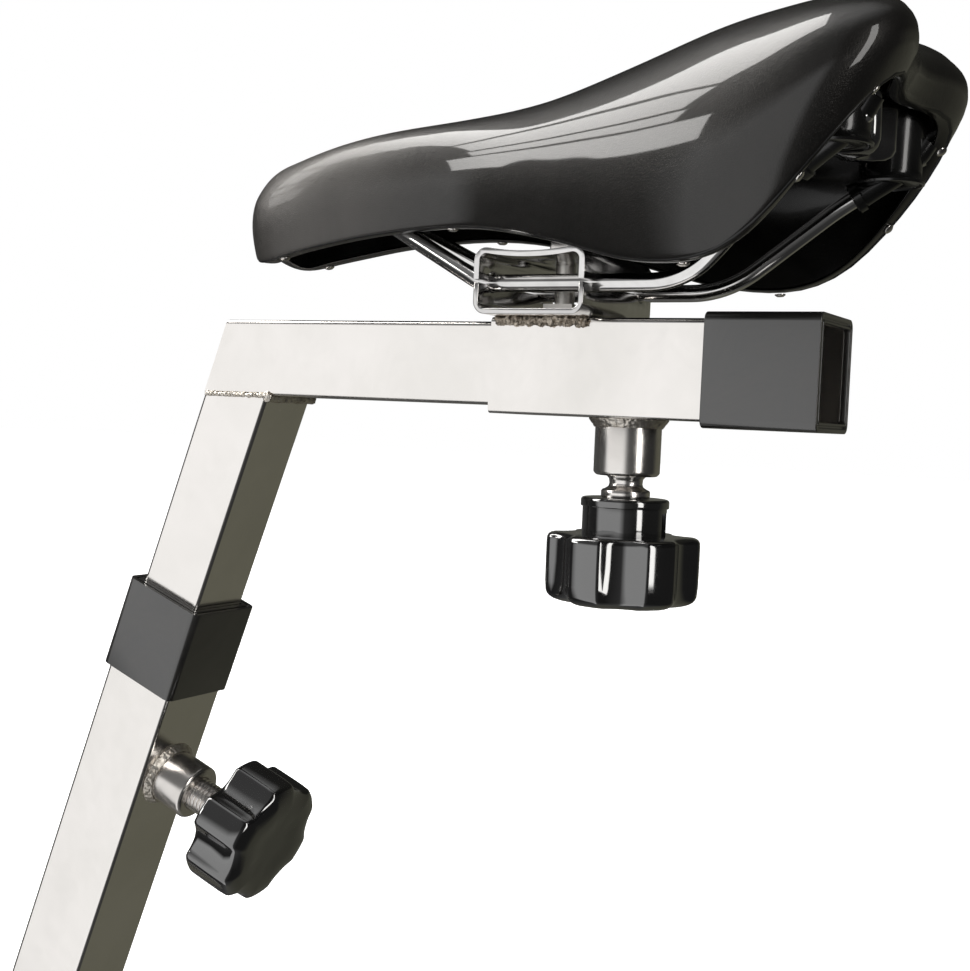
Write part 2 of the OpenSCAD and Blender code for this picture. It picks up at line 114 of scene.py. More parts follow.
def softened(node, name, width, body, material, segments=3):
    """A CAD node's shape with its hard edges rounded by width."""
    bm = node_bmesh(node)
    bmesh.ops.dissolve_limit(bm, angle_limit=math.radians(0.6), verts=bm.verts, edges=bm.edges)
    obj = from_bmesh(name, bm)
    bevel = obj.modifiers.new("edges", "BEVEL")
    bevel.width = width
    bevel.segments = segments
    bevel.limit_method = "ANGLE"
    bevel.angle_limit = math.radians(38)
    bevel.use_clamp_overlap = True
    bake_modifiers(obj)
    shade(obj, 40)
    obj.data.materials.clear()
    obj.data.materials.append(material)
    stand_for(obj, body, [node])
    return obj


def smoothed(node, name, body, material, levels=1, crease_angle=55):
    """A faceted CAD node's shape as a smooth subdivision surface; its hard edges stay."""
    bm = node_bmesh(node)
    quads_from(bm)
    crease = bm.edges.layers.float.new("crease_edge")
    for edge in bm.edges:
        if len(edge.link_faces) == 2 and edge.calc_face_angle() > math.radians(crease_angle):
            edge[crease] = 1.0
    obj = from_bmesh(name, bm)
    subdivide(obj, levels)
    shade(obj, 45)
    obj.data.materials.clear()
    obj.data.materials.append(material)
    stand_for(obj, body, [node])
    return obj


def quads_from(bm):
    bmesh.ops.join_triangles(bm, faces=bm.faces, cmp_seam=False, cmp_sharp=False, cmp_uvs=False,
                             cmp_vcols=False, cmp_materials=False,
                             angle_face_threshold=math.radians(40), angle_shape_threshold=math.radians(60))


def subdivide(obj, levels):
    modifier = obj.modifiers.new("smooth", "SUBSURF")
    modifier.levels = levels
    modifier.render_levels = levels
    bake_modifiers(obj)


def surface_grid(name, rows, close_rows=False, cap_ends=True):
    """A mesh from rows of points, each row a closed ring."""
    bm = bmesh.new()
    rings = [[bm.verts.new(p) for p in row] for row in rows]
    n = len(rings[0])
    count = len(rings)
    for i in range(count if close_rows else count - 1):
        a, b = rings[i], rings[(i + 1) % count]
        for k in range(n):
            bm.faces.new((a[k], a[(k + 1) % n], b[(k + 1) % n], b[k]))
    if cap_ends and not close_rows:
        bm.faces.new(rings[0])
        bm.faces.new(rings[-1])
    return from_bmesh(name, bm)


def finished(obj, material, sharp_angle=40):
    shade(obj, sharp_angle)
    obj.data.materials.clear()
    obj.data.materials.append(material)
    return obj


def ring(radius_at, z, count=144):
    """A closed ring round local Z; radius_at gives the radius for an angle."""
    points = []
    for k in range(count):
        angle = 2 * math.pi * k / count
        radius = radius_at(angle)
        points.append((radius * math.cos(angle), radius * math.sin(angle), z))
    return points


def turned(name, profile, count=64):
    """A lathe shape from (radius, height) pairs in millimetres."""
    rows = [ring(lambda _, r=radius: r * MM, height * MM, count) for radius, height in profile]
    return surface_grid(name, rows)


def smooth_min(a, b, blend):
    near = max(blend - abs(a - b), 0) / blend
    return min(a, b) - near * near * blend / 4


def wobble(point, scale, seed=0.0):
    return noise.noise(Vector(point) * scale + Vector((seed, seed, seed)))


def move_along_normals(obj, amounts):
    moves = [v.normal * amount for v, amount in zip(obj.data.vertices, amounts)]
    for vertex, move in zip(obj.data.vertices, moves):
        vertex.co += move
    obj.data.update()


# ---------- materials ----------

def new_material(name):
    material = bpy.data.materials.new(name)
    material.use_nodes = True
    return material, material.node_tree, material.node_tree.nodes["Principled BSDF"]


def add(tree, kind, **values):
    node = tree.nodes.new(kind)
    for key, value in values.items():
        if hasattr(node, key):
            setattr(node, key, value)
        else:
            node.inputs[key.replace("_", " ")].default_value = value
    return node


def coordinates(tree, scale):
    """Object-space coordinates, scaled."""
    place = add(tree, "ShaderNodeTexCoord")
    mapping = add(tree, "ShaderNodeMapping")
    mapping.inputs["Scale"].default_value = scale
    tree.links.new(place.outputs["Object"], mapping.inputs["Vector"])
    return mapping.outputs["Vector"]


def noise_field(tree, scale, size, detail=4.0, roughness=0.6, distortion=0.0):
    field = add(tree, "ShaderNodeTexNoise")
    field.inputs["Scale"].default_value = size
    field.inputs["Detail"].default_value = detail
    field.inputs["Roughness"].default_value = roughness
    field.inputs["Distortion"].default_value = distortion
    tree.links.new(coordinates(tree, scale), field.inputs["Vector"])
    return field.outputs["Fac"]


def ramp(tree, value, stops):
    node = add(tree, "ShaderNodeValToRGB")
    elements = node.color_ramp.elements
    while len(elements) < len(stops):
        elements.new(0.5)
    for element, (at, colour) in zip(elements, stops):
        element.position = at
        element.color = (*colour, 1.0) if isinstance(colour, tuple) else (colour, colour, colour, 1.0)
    tree.links.new(value, node.inputs["Fac"])
    return node.outputs["Color"]


def spread(tree, value, low, high):
    node = add(tree, "ShaderNodeMapRange")
    node.inputs["To Min"].default_value = low
    node.inputs["To Max"].default_value = high
    tree.links.new(value, node.inputs["Value"])
    return node.outputs["Result"]


def bump(tree, shader, height, distance, strength=1.0, after=None):
    node = add(tree, "ShaderNodeBump")
    node.inputs["Strength"].default_value = strength
    node.inputs["Distance"].default_value = distance
    tree.links.new(height, node.inputs["Height"])
    if after is not None:
        tree.links.new(after, node.inputs["Normal"])
    tree.links.new(node.outputs["Normal"], shader.inputs["Normal"])
    return node.outputs["Normal"]


def metal(name, light, dark, rough_low, rough_high, grain=(1, 1, 1), grain_size=900, grain_depth=0.004):
    """Polished or turned metal: cloudy colour, smudged roughness and fine lines along the grain."""
    material, tree, shader = new_material(name)
    shader.inputs["Metallic"].default_value = 1.0
    clouds = noise_field(tree, (1, 1, 1), 16, 5, 0.6, 0.4)
    tree.links.new(ramp(tree, clouds, [(0.35, dark), (0.62, light)]), shader.inputs["Base Color"])
    smudge = noise_field(tree, (1, 1, 1), 60, 6, 0.65, 1.2)
    tree.links.new(spread(tree, smudge, rough_low, rough_high), shader.inputs["Roughness"])
    lines = noise_field(tree, grain, grain_size, 2, 0.5)
    bump(tree, shader, lines, grain_depth * MM, 0.5)
    return material


def steel_material():
    return metal("polished_steel", (0.93, 0.90, 0.87), (0.86, 0.835, 0.80), 0.10, 0.26,
                 (1, 14, 14), 260, 0.006)


def turned_material():
    return metal("turned_steel", (0.84, 0.81, 0.78), (0.66, 0.63, 0.60), 0.12, 0.32, (18, 18, 1), 220, 0.01)


def chrome_material():
    return metal("chrome", (0.86, 0.85, 0.84), (0.62, 0.61, 0.60), 0.05, 0.20, (2, 12, 12), 240, 0.006)


def weld_material(name, light, dark):
    material, tree, shader = new_material(name)
    shader.inputs["Metallic"].default_value = 1.0
    stain = noise_field(tree, (1, 1, 1), 240, 6, 0.7, 0.8)
    tree.links.new(ramp(tree, stain, [(0.32, dark), (0.66, light)]), shader.inputs["Base Color"])
    tree.links.new(spread(tree, stain, 0.55, 0.25), shader.inputs["Roughness"])
    bump(tree, shader, noise_field(tree, (1, 1, 1), 900, 4, 0.6), 0.12 * MM, 0.6)
    return material


def brass_material():
    return metal("brass", (0.78, 0.62, 0.32), (0.58, 0.44, 0.20), 0.2, 0.4, (16, 16, 1), 200, 0.01)


def plastic(name, colour, worn, rough_low, rough_high, coat, grain_size, grain_depth, gloss=1.5):
    """Moulded black plastic: dusty patches, uneven gloss and a fine mould grain."""
    material, tree, shader = new_material(name)
    dust = noise_field(tree, (1, 1, 1), 38, 6, 0.65, 0.6)
    tree.links.new(ramp(tree, dust, [(0.38, colour), (0.74, worn)]), shader.inputs["Base Color"])
    tree.links.new(spread(tree, dust, rough_low, rough_high), shader.inputs["Roughness"])
    shader.inputs["Coat Weight"].default_value = coat
    shader.inputs["Coat Roughness"].default_value = 0.08
    shader.inputs["Coat IOR"].default_value = gloss
    bump(tree, shader, noise_field(tree, (1, 1, 1), grain_size, 3, 0.5), grain_depth * MM, 0.4)
    return material


def collar_material():
    material = plastic("collar_plastic", (0.012, 0.012, 0.011), (0.035, 0.032, 0.029),
                       0.24, 0.5, 0.7, 1400, 0.05, 1.8)
    material.node_tree.nodes["Principled BSDF"].inputs["Specular IOR Level"].default_value = 0.9
    return material


def knob_material():
    return plastic("knob_plastic", (0.008, 0.008, 0.008), (0.014, 0.014, 0.014),
                   0.07, 0.16, 1.0, 700, 0.01, 2.3)


def shell_material():
    return plastic("shell_plastic", (0.006, 0.006, 0.006), (0.015, 0.015, 0.014),
                   0.12, 0.30, 0.4, 1100, 0.02)


def tongue_material():
    return plastic("tongue_plastic", (0.012, 0.012, 0.012), (0.03, 0.03, 0.029),
                   0.10, 0.22, 1.0, 900, 0.01, 2.4)


def piping_material():
    return plastic("piping", (0.006, 0.006, 0.006), (0.02, 0.02, 0.02), 0.3, 0.5, 0.1, 1500, 0.04)


def vinyl_material():
    """Black leather-grain vinyl: pebbled cells with fine creases between them and a satin topcoat."""
    material, tree, shader = new_material("vinyl")
    cells = add(tree, "ShaderNodeTexVoronoi", feature="DISTANCE_TO_EDGE")
    cells.inputs["Scale"].default_value = 1150
    cells.inputs["Randomness"].default_value = 0.95
    warp = noise_field(tree, (1, 1, 1), 420, 3, 0.6)
    base = coordinates(tree, (1, 1, 1))
    bend = add(tree, "ShaderNodeVectorMath", operation="MULTIPLY_ADD")
    tree.links.new(warp, bend.inputs[0])
    bend.inputs[1].default_value = (0.0016, 0.0016, 0.0016)
    tree.links.new(base, bend.inputs[2])
    tree.links.new(bend.outputs["Vector"], cells.inputs["Vector"])
    wear = noise_field(tree, (1, 1, 1), 22, 6, 0.65, 0.5)
    tree.links.new(spread(tree, wear, 0.32, 0.44), shader.inputs["Roughness"])
    shader.inputs["Specular Tint"].default_value = (1.0, 0.96, 0.92, 1)
    along = add(tree, "ShaderNodeSeparateXYZ")
    tree.links.new(base, along.inputs["Vector"])
    # Mask along X: towards the nose the coat thins and the specular drops, so the nose is worn matte; the
    # same mask also lightens the nose's base colour, which is a painted sheen.
    worn = add(tree, "ShaderNodeMapRange", interpolation_type="SMOOTHSTEP")
    worn.inputs["From Min"].default_value = SEAT.x - 0.085
    worn.inputs["From Max"].default_value = SEAT.x - 0.01
    tree.links.new(along.outputs["X"], worn.inputs["Value"])
    tree.links.new(spread(tree, worn.outputs["Result"], 0.18, 0.85), shader.inputs["Coat Weight"])
    tree.links.new(spread(tree, worn.outputs["Result"], 0.8, 0.3), shader.inputs["Specular IOR Level"])
    # Painted sheen: the base colour is lighter towards the nose and darker over the rest of the seat.
    nose_sheen_mix = add(tree, "ShaderNodeMix", data_type="RGBA")
    tree.links.new(worn.outputs["Result"], nose_sheen_mix.inputs["Factor"])
    tree.links.new(ramp(tree, wear, [(0.36, (0.048, 0.045, 0.042)), (0.70, (0.070, 0.066, 0.061))]),
                   nose_sheen_mix.inputs["A"])
    tree.links.new(ramp(tree, wear, [(0.36, (0.008, 0.0076, 0.0072)), (0.70, (0.016, 0.015, 0.014))]),
                   nose_sheen_mix.inputs["B"])
    tree.links.new(nose_sheen_mix.outputs["Result"], shader.inputs["Base Color"])
    shader.inputs["Coat Roughness"].default_value = 0.05
    pebbles = ramp(tree, cells.outputs["Distance"], [(0.0, 0.0), (0.22, 1.0)])
    first = bump(tree, shader, pebbles, 0.05 * MM, 0.55)
    bump(tree, shader, noise_field(tree, (1, 1, 1), 160, 5, 0.6, 0.8), 0.5 * MM, 0.25, first)
    return material


STEEL = steel_material()
TURNED = turned_material()
CHROME = chrome_material()
WELD = weld_material("weld", (0.84, 0.80, 0.74), (0.50, 0.45, 0.38))
BURNT = weld_material("burnt_weld", (0.62, 0.55, 0.46), (0.12, 0.09, 0.06))
BRASS = brass_material()
COLLAR = collar_material()
KNOB = knob_material()
SHELL = shell_material()
PIPING = piping_material()
VINYL = vinyl_material()
TONGUE = tongue_material()


def paint(material, *nodes):
    for node in nodes:
        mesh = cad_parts[node].data
        mesh.materials.clear()
        mesh.materials.append(material)


# ---------- tubes, collars and clamp ----------

paint(STEEL, "frame_tube", "post_leg", "post_bar", "post_cap", "slider_tube")
paint(TURNED, "clamp_washer")
paint(BRASS, "height_pad", "slider_pad")
paint(SHELL, "nose_socket")

softened("frame_collar", "frame_end_collar", 0.7 * MM, "frame", COLLAR)
softened("slider_collar", "slider_end_collar", 0.7 * MM, "slider", COLLAR)
softened("clamp_bridge", "clamp_top_plate", 0.7 * MM, "slider", CHROME)
softened("clamp_cradle", "clamp_bottom_plate", 0.7 * MM, "slider", CHROME)
softened("clamp_nut", "clamp_hex_nut", 0.3 * MM, "slider", TURNED)
softened("height_boss", "height_boss_sleeve", 0.5 * MM, "frame", TURNED)
softened("slider_boss", "slider_boss_sleeve", 0.5 * MM, "slider", TURNED)
softened("slider_lock_ring", "slider_knob_disc", 0.5 * MM, "slider_lock", KNOB)
softened("slider_knob_hub", "slider_knob_neck", 0.4 * MM, "slider_lock", KNOB)
softened("cover_rivets", "hem_rivets", 0.15 * MM, "saddle", TURNED)

# ---------- welds ----------

def bead(node, name, body, material, ripple, pitch, rough):
    """A weld: the CAD fillet remeshed, with the ripples of the torch along X and a rough skin."""
    obj = from_bmesh(name, node_bmesh(node))
    remesh = obj.modifiers.new("even", "REMESH")
    remesh.mode = "VOXEL"
    remesh.voxel_size = 0.35 * MM
    bake_modifiers(obj)

    def height(p):
        along = p.x / pitch + 1.2 * wobble(p, 160)
        wave = abs(math.sin(math.pi * along))
        return ripple * (wave - 0.6) + rough * wobble(p, 700, 3.0) + 0.6 * rough * wobble(p, 1700, 7.0)

    move_along_normals(obj, [height(v.co) for v in obj.data.vertices])
    finished(obj, material, 60)
    stand_for(obj, body, [node])


bead("post_weld", "corner_seam_bead", "post", WELD, 0.35 * MM, 2.2 * MM, 0.35 * MM)
bead("height_boss_weld", "height_boss_fillet", "frame", WELD, 0.12 * MM, 3.0 * MM, 0.25 * MM)
bead("slider_boss_weld", "slider_boss_fillet", "slider", WELD, 0.12 * MM, 3.0 * MM, 0.25 * MM)
bead("cradle_weld", "clamp_seam_bead", "slider", BURNT, 0.6 * MM, 4.2 * MM, 0.8 * MM)

# ---------- lock screws and knobs ----------

LEAN = math.radians(20)
HEIGHT_SCREW_AT = 266.4 * MM
SCREW_PITCH = 2 * MM
KNOB_R, KNOB_H, FLUTE, FLUTE_R = 30 * MM, 27 * MM, 4.5 * MM, 14 * MM
GRIP_STEPS, STUD_STEPS = 180, 48


def height_axis():
    """Local Z along the height screw, away from the frame tube; local X down the tube."""
    at = (HEIGHT_SCREW_AT * math.sin(LEAN), 0, HEIGHT_SCREW_AT * math.cos(LEAN))
    return Matrix.Translation(at) @ Matrix.Rotation(LEAN + math.pi / 2, 4, "Y")


def slider_axis():
    low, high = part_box("slider_lock_ring")
    at = ((low[0] + high[0]) / 2, 0, SEAT.z)
    return Matrix.Translation(at) @ Matrix.Rotation(math.pi, 4, "X")


def lobe_radius(angle):
    """Six lobes with softened crests between six round flutes."""
    centre = KNOB_R - FLUTE + FLUTE_R
    step = math.pi / 3
    off = angle % step - step / 2
    across = centre * math.sin(off)
    if abs(across) >= FLUTE_R:
        return KNOB_R
    return smooth_min(centre * math.cos(off) - math.sqrt(FLUTE_R ** 2 - across ** 2), KNOB_R, 1.6 * MM)


# (height, inset from the lobes) up the grip's side and over its rim, millimetres
RIM = [(0, 2.2), (0.25, 1.2), (0.8, 0.5), (1.7, 0.1), (3, 0), (11, 0), (19, 0), (22.8, 0), (23.9, 0.4),
       (24.8, 1.2), (25.6, 2.5), (26.2, 4.2), (26.7, 6.2), (27, 8.0)]


def grip(name, node, body, axis, start, twist):
    def softened_lobe(angle, z):
        share = 0.45 * min(max((z - 18) / 9, 0), 1)
        return lobe_radius(angle) * (1 - share) + (KNOB_R - 1.8 * MM) * share

    rows = [ring(lambda a, i=inset, z=z: softened_lobe(a, z) - i * MM, z * MM, GRIP_STEPS)
            for z, inset in RIM]

    def dish(angle, share):
        """The end face, shallowly dished; it turns from lobed to round towards its middle."""
        return share * ((softened_lobe(angle, 27) - 8 * MM) * share + 18 * MM * (1 - share))

    for share, z in ((0.75, KNOB_H), (0.6, KNOB_H - 0.5 * MM), (0.3, KNOB_H - 0.6 * MM)):
        rows.append(ring(lambda a, s=share: dish(a, s), z, GRIP_STEPS))
    obj = surface_grid(name, rows)
    obj.data.transform(axis @ Matrix.Translation((0, 0, start)) @ Matrix.Rotation(twist, 4, "Z"))
    finished(obj, KNOB, 50)
    stand_for(obj, body, [node])


def thread_radius(z, angle, crest, depth):
    """Radius of a right-hand thread with flat crests and roots."""
    phase = (z / SCREW_PITCH - angle / (2 * math.pi)) % 1.0
    rise = min(max((0.5 - abs(phase - 0.5)) * 5 - 0.6, 0), 1)
    return crest - depth * (1 - rise * rise * (3 - 2 * rise))


def screw(name, node, body, axis, start, end, tail):
    """A threaded stud from start to end, followed by the (radius, height) pairs in tail."""
    crest, depth = 8 * MM, 0.9 * MM
    steps = int((end - start) / (SCREW_PITCH / 10))
    rows = []
    for i in range(steps + 1):
        z = start + (end - start) * i / steps
        rows.append(ring(lambda a, at=z: thread_radius(at, a, crest, depth), z, STUD_STEPS))
    rows += [ring(lambda a, r=radius: r * MM, z * MM, STUD_STEPS) for radius, z in tail]
    obj = surface_grid(name, rows)
    obj.data.transform(axis)
    finished(obj, TURNED, 50)
    stand_for(obj, body, [node])


HEIGHT_AXIS = height_axis()
SLIDER_AXIS = slider_axis()
grip("height_knob_grip", "height_knob", "height_lock", HEIGHT_AXIS, 60 * MM, math.radians(188))
grip("slider_knob_grip", "slider_knob", "slider_lock", SLIDER_AXIS, 64.6 * MM, math.radians(-23))
screw("height_stud", "height_screw", "height_lock", HEIGHT_AXIS, 20.2 * MM, 60 * MM,
      [(7.3, 60.1), (7.5, 61), (7.5, 77.5), (7, 78)])
screw("slider_stud", "slider_screw", "slider_lock", SLIDER_AXIS, 19.25 * MM, 37.2 * MM,
      [(6.3, 37.3), (6.8, 37.8), (6.9, 39), (7.6, 40.6), (7.6, 41.6), (6.7, 42.6), (6.5, 44.4), (6.9, 45.6),
       (8.2, 46.4), (9.2, 46.8), (9.6, 47.4), (9.6, 49.2), (9.3, 49.9), (5, 50), (5, 79.5), (4.5, 80)])

# ---------- rails and shell ----------

smoothed("rail_left", "left_rail", "saddle", CHROME)
smoothed("rail_right", "right_rail", "saddle", CHROME)
smoothed("saddle_shell", "seat_shell", "saddle", SHELL)

# ---------- moulded tail parts ----------


def tube_along(name, points, radii, count=24):
    """A round tube through points, with its own radius at each."""
    rows = []
    for i, point in enumerate(points):
        ahead = points[min(i + 1, len(points) - 1)] - points[max(i - 1, 0)]
        turn = ahead.to_track_quat("Z", "Y").to_matrix()
        rows.append([point + turn @ Vector(p) for p in ring(lambda _, r=radii[i]: r, 0, count)])
    return surface_grid(name, rows)


def joined(name, objects):
    """Several closed shapes as one piece."""
    bm = bmesh.new()
    for obj in objects:
        bm.from_mesh(obj.data)
        bpy.data.objects.remove(obj)
    return from_bmesh(name, bm)


def seat_point(x, y, z):
    return SEAT + Vector((x, y, z)) * MM


def sleeves():
    """Soft black sleeves over the rails' back ends, which bend up into their pockets."""
    tubes = []
    for side in (-1, 1):
        start = seat_point(120, side * 36.5, 65)
        run = (seat_point(150, side * 42, 85) - start).normalized()
        straight = [start + run * (d * MM) for d in (7, 7.6, 10.4, 11, 16, 21, 26)]
        bend = [straight[-1] + run * (d * MM) + Vector((0, 0, 0.035 * d * d * MM)) for d in (3, 6, 9, 12)]
        radii = [5.6, 6.2, 6.2, 5.2, 5, 5, 5, 5, 5, 5, 4.8]
        tubes.append(tube_along(f"sleeve{side}", straight + bend, [r * MM for r in radii]))
    obj = finished(joined("soft_rail_sleeves", tubes), SHELL)
    stand_for(obj, "saddle", ["rail_sleeves"])


def pockets():
    """Round moulded pockets under the two wings, each with a thin raised rim."""
    profile = [(4, 75.0), (8.6, 74.9), (10.4, 75.2), (11.3, 75.0), (12.0, 74.3), (12.9, 74.4), (13.2, 75.2),
               (12.7, 76.1), (12.0, 76.8), (11.8, 79), (12, 86), (12.6, 96), (13.5, 104)]
    cups = []
    for side in (-1, 1):
        cup = turned(f"pocket{side}", profile, 72)
        cup.data.transform(Matrix.Translation(seat_point(139, side * 40, 0)))
        cups.append(cup)
    obj = finished(joined("rail_pockets", cups), SHELL)
    stand_for(obj, "saddle", ["rear_sockets"])


def tongue():
    """Glossy web between the wings, hollowed down its back and rounded at its foot."""
    rows = []
    # Height, and width as a share of the full width, from the foot up into the shell
    sections = ((77.6, 0.45), (78.2, 0.72), (79.6, 0.9), (82, 1.0), (87, 1.0), (93, 1.05),
                (99, 1.2), (105, 1.4))
    for z, grow in sections:
        row = []
        for k in range(96):
            angle = 2 * math.pi * k / 96
            c, s = math.cos(angle), math.sin(angle)
            x = 12 * abs(c) ** 0.6 * (1 if c > 0 else -1)
            y = 16 * grow * abs(s) ** 0.6 * (1 if s > 0 else -1)
            hollow = 8.5 * math.exp(-(y / (8.5 * grow)) ** 2) * max(c, 0) ** 0.5
            row.append(seat_point(138 + x * min(grow, 1) - hollow, y, z))
        rows.append(row)
    obj = finished(surface_grid("tail_tongue", rows), TONGUE, 55)
    stand_for(obj, "saddle", ["tail_bridge"])


sleeves()
pockets()
tongue()

# ---------- saddle cushion ----------

# How far the cover is drawn in before the cloth run, and the most any point may end from the CAD
SWELL = 1.2 * MM
CLOTH_FRAMES = 20


def tree_of(node):
    bm = bmesh.new()
    bm.from_mesh(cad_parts[node].data)
    tree = BVHTree.FromBMesh(bm)
    bm.free()
    return tree


def swelling_share(obj, foam, shell):
    """For each vertex, 0 on the cover's inside and hem and 1 well up its outside."""
    shares = []
    for vertex in obj.data.vertices:
        off_foam = foam.find_nearest(vertex.co)[3]
        off_shell = shell.find_nearest(vertex.co)[3]
        outside = min(max((off_foam - 0.7 * MM) / (0.6 * MM), 0), 1)
        clear = min(max((off_shell - 7.5 * MM) / (9 * MM), 0), 1)
        shares.append(outside * clear * clear * (3 - 2 * clear))
    return shares


def puff(obj, shares):
    """Draws the cover in, then runs cloth under pressure with the hem held; the move is capped."""
    start = [v.co.copy() for v in obj.data.vertices]
    held = obj.vertex_groups.new(name="held")
    move_along_normals(obj, [-SWELL * share for share in shares])
    for index, share in enumerate(shares):
        held.add([index], 1.0 - share, "REPLACE")
    cloth = obj.modifiers.new("cloth", "CLOTH")
    settings = cloth.settings
    settings.use_pressure = True
    settings.uniform_pressure_force = 4
    settings.vertex_group_mass = "held"
    settings.tension_stiffness = 25
    settings.compression_stiffness = 8
    settings.bending_stiffness = 0.6
    settings.effector_weights.gravity = 0
    cloth.point_cache.frame_start = 1
    cloth.point_cache.frame_end = CLOTH_FRAMES
    for step in range(1, CLOTH_FRAMES + 1):
        scene.frame_set(step)
    bake_modifiers(obj)
    obj.vertex_groups.clear()
    scene.frame_set(1)
    for vertex, base, share in zip(obj.data.vertices, start, shares):
        move = vertex.co - base
        limit = SWELL * share
        if move.length > limit:
            vertex.co = base + move * (limit / move.length if move.length else 0)
    obj.data.update()


def creases(p):
    """Soft wrinkles, deepest on the sides of the nose where the vinyl is pulled round."""
    local = (p - SEAT) / MM
    nose = min(max((10 - local.x) / 60, 0), 1)
    side = min(abs(local.y) / 14, 1)
    flow = Vector((local.x * 0.035, local.y * 0.02, local.z * 0.075 + local.x * 0.018))
    folds = noise.ridged_multi_fractal(flow + Vector((3.1, 0.4, 1.7)), 0.9, 2.1, 3, 0.9, 2.0)
    broad = noise.noise(Vector((local.x * 0.03, local.y * 0.03, local.z * 0.03)))
    return MM * (nose * side * (0.55 - 0.42 * min(folds, 2.2)) + 0.10 * broad)


def cushion():
    """The vinyl cover stretched over the foam, closed round its hem and made smooth."""
    foam = tree_of("saddle_foam")
    shell = tree_of("saddle_shell")
    bm = node_bmesh("saddle_cover")
    quads_from(bm)
    obj = from_bmesh("saddle_cushion", bm)
    subdivide(obj, 1)
    puff(obj, swelling_share(obj, foam, shell))
    subdivide(obj, 1)
    move_along_normals(obj, [share * creases(v.co) for share, v in
                             zip(swelling_share(obj, foam, shell), obj.data.vertices)])
    finished(obj, VINYL, 50)
    stand_for(obj, "saddle", ["saddle_cover", "saddle_foam"])
    return obj


def hem_path():
    """The cover's lower outer edge as one closed run of points, taken from the CAD cover."""
    bm = node_bmesh("saddle_cover")
    quads_from(bm)
    sharp = [e for e in bm.edges if len(e.link_faces) == 2 and e.calc_face_angle() > math.radians(45)]
    around = {}
    for edge in sharp:
        a, b = edge.verts
        around.setdefault(a, []).append(b)
        around.setdefault(b, []).append(a)
    best, seen = [], set()
    for first in around:
        if first in seen or len(around[first]) != 2:
            continue
        run, last, here = [first], None, first
        while True:
            seen.add(here)
            onward = [v for v in around[here] if v is not last and len(around[v]) == 2]
            if not onward or onward[0] is first:
                break
            last, here = here, onward[0]
            if here in seen:
                break
            run.append(here)
        if len(run) > 20 and path_length(run) > path_length(best):
            best = run
    points = [v.co.copy() for v in best]
    bm.free()
    return points


def path_length(run):
    return sum((a.co - b.co).length for a, b in zip(run, run[1:]))


def piping():
    """A thin black bead sewn round the cover's lower edge."""
    path = hem_path()
    middle = sum(path, Vector()) / len(path)
    rows = []
    for i, point in enumerate(path):
        ahead = (path[(i + 1) % len(path)] - path[i - 1]).normalized()
        out = (point - middle)
        out = (out - ahead * out.dot(ahead)).normalized()
        up = ahead.cross(out)
        rows.append([point + 0.95 * MM * (math.cos(a) * out + math.sin(a) * up)
                     for a in (2 * math.pi * k / 10 for k in range(10))])
    obj = surface_grid("hem_piping", rows, close_rows=True)
    subdivide(obj, 1)
    finished(obj, PIPING, 180)
    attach(obj, "saddle")


cushion()
piping()

# ---------- floor, lights and camera ----------

CAMERA_AT = (0.5555, -0.5143, 0.4181)
AZIMUTH, ELEVATION, ROLL = 28.755, 2.715, 2.494
LENS = 52.70


def make_camera():
    azimuth, elevation, roll = (math.radians(a) for a in (AZIMUTH, ELEVATION, ROLL))
    back = Vector((math.sin(azimuth) * math.cos(elevation), -math.cos(azimuth) * math.cos(elevation),
                   math.sin(elevation)))
    level = (-back).cross(Vector((0, 0, 1))).normalized()
    above = level.cross(-back)
    right = math.cos(roll) * level + math.sin(roll) * above
    up = -math.sin(roll) * level + math.cos(roll) * above
    data = bpy.data.cameras.new("camera")
    data.lens = LENS
    data.sensor_width = 36.0
    data.clip_start = 0.05
    data.clip_end = 60.0
    obj = bpy.data.objects.new("camera", data)
    turn = Matrix((right, up, back)).transposed().to_4x4()
    obj.matrix_world = Matrix.Translation(CAMERA_AT) @ turn
    scene.collection.objects.link(obj)
    scene.camera = obj


def make_floor():
    bm = bmesh.new()
    bmesh.ops.create_grid(bm, x_segments=1, y_segments=1, size=14)
    obj = from_bmesh("floor", bm)
    obj.location = (0, 0, cad_box[0].z - 0.0005)
    material, _, shader = new_material("floor")
    shader.inputs["Base Color"].default_value = (0.96, 0.96, 0.96, 1)
    shader.inputs["Roughness"].default_value = 0.9
    shader.inputs["Specular IOR Level"].default_value = 0.1
    shader.inputs["Emission Color"].default_value = (1, 1, 1, 1)
    shader.inputs["Emission Strength"].default_value = 1.0
    obj.data.materials.append(material)
    obj.visible_glossy = False
    obj.visible_diffuse = False


def smooth_steps(tree, value, stops):
    """A grey level that eases from stop to stop of (value in degrees, level)."""
    low, high = stops[0][0], stops[-1][0]
    scaled = add(tree, "ShaderNodeMapRange")
    scaled.inputs["From Min"].default_value = low
    scaled.inputs["From Max"].default_value = high
    tree.links.new(value, scaled.inputs["Value"])
    return ramp(tree, scaled.outputs["Result"], [((at - low) / (high - low), level) for at, level in stops])


def maths(tree, operation, *inputs):
    node = add(tree, "ShaderNodeMath", operation=operation)
    for socket, value in zip(node.inputs, inputs):
        if isinstance(value, (int, float)):
            socket.default_value = value
        else:
            tree.links.new(value, socket)
    return node.outputs["Value"]


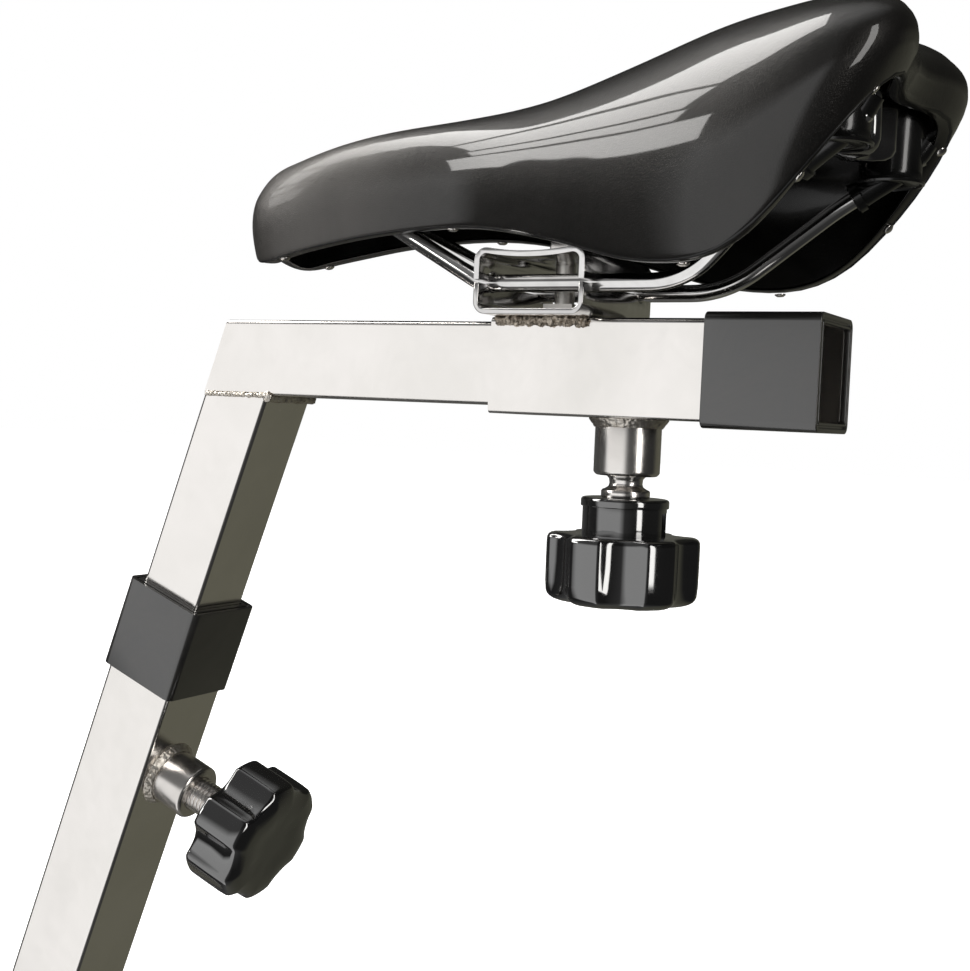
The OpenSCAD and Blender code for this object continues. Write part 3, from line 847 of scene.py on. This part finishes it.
def make_world():
    """White studio: bright walls ahead of the near side and overhead, dark ones to the left and behind."""
    world = bpy.data.worlds.new("studio")
    world.use_nodes = True
    scene.world = world
    tree = world.node_tree
    background = tree.nodes["Background"]
    place = add(tree, "ShaderNodeTexCoord")
    split = add(tree, "ShaderNodeSeparateXYZ")
    tree.links.new(place.outputs["Generated"], split.inputs["Vector"])
    x, y, z = split.outputs["X"], split.outputs["Y"], split.outputs["Z"]
    turn = maths(tree, "DEGREES", maths(tree, "ARCTAN2", x, maths(tree, "MULTIPLY", y, -1.0)))
    rise = maths(tree, "DEGREES", maths(tree, "ARCSINE", z))
    walls = add(tree, "ShaderNodeMix", data_type="RGBA", blend_type="MULTIPLY")
    walls.inputs["Factor"].default_value = 1.0
    tree.links.new(smooth_steps(tree, turn, WALLS), walls.inputs["A"])
    tree.links.new(smooth_steps(tree, rise, WALL_TOP), walls.inputs["B"])
    ceiling = smooth_steps(tree, rise, CEILING)
    total = add(tree, "ShaderNodeMix", data_type="RGBA", blend_type="ADD")
    total.inputs["Factor"].default_value = 1.0
    tree.links.new(walls.outputs["Result"], total.inputs["A"])
    tree.links.new(ceiling, total.inputs["B"])
    ray = add(tree, "ShaderNodeLightPath")
    choose = add(tree, "ShaderNodeMix", data_type="RGBA")
    tree.links.new(ray.outputs["Is Camera Ray"], choose.inputs["Factor"])
    tree.links.new(total.outputs["Result"], choose.inputs["A"])
    choose.inputs["B"].default_value = (1.0, 1.0, 1.0, 1.0)
    tree.links.new(choose.outputs["Result"], background.inputs["Color"])


# Brightness of the studio by compass turn from the near side (degrees), and by height above the horizon
OLIVE = (0.112, 0.110, 0.085)
WALLS = [(-180, OLIVE), (-130, 0.08), (-60, 0.035), (-49, 0.98), (10, 1.0), (24, 0.10), (60, 0.03),
         (125, 0.03), (146, OLIVE), (180, OLIVE)]
WALL_TOP = [(-90, 1.0), (7, 1.0), (17, 0.15), (90, 0.15)]
CEILING = [(-90, 0.12), (-50, 0.0), (0, 0.0), (55, 0.02), (75, 0.5), (90, 0.7)]

make_camera()
make_floor()
make_world()


def pane(name, corners, strength, reach=6.0):
    """A glowing window pane; each corner is (turn from the near side, rise above level), in degrees."""
    centre = SEAT + Vector((0.02, 0, 0.1))
    bm = bmesh.new()
    verts = []
    for turn, rise in corners:
        turn, rise = math.radians(turn), math.radians(rise)
        way = Vector((math.sin(turn) * math.cos(rise), -math.cos(turn) * math.cos(rise), math.sin(rise)))
        verts.append(bm.verts.new(centre + way * reach))
    bm.faces.new(verts)
    obj = from_bmesh(name, bm)
    material, _, shader = new_material(name)
    shader.inputs["Base Color"].default_value = (0, 0, 0, 1)
    shader.inputs["Emission Color"].default_value = (1.0, 0.985, 0.96, 1)
    shader.inputs["Emission Strength"].default_value = strength
    obj.data.materials.append(material)
    obj.visible_camera = False


# Window panes stacked by height, in degrees: sill, head, right jamb, left jamb at the sill and at the head
PANES = [(12, 20.2, -50, -66, -74), (21.6, 26.2, -60, -75, -80), (27.6, 37.2, -62, -80, -91),
         (38.8, 70, -63, -92, -124)]
for number, (sill, head, right, low_left, high_left) in enumerate(PANES):
    middle, middle_left = (sill + head) / 2, (low_left + high_left) / 2
    rim = [(right, sill), (low_left, sill), (middle_left, middle)]
    rim += [(high_left, head), (right, head), (right, middle)]
    pane(f"window_{number}", rim, 8)
pane("back_window", [(58, -12), (72, -12), (72, 38), (58, 38)], 5)
scene.view_settings.view_transform = "Standard"
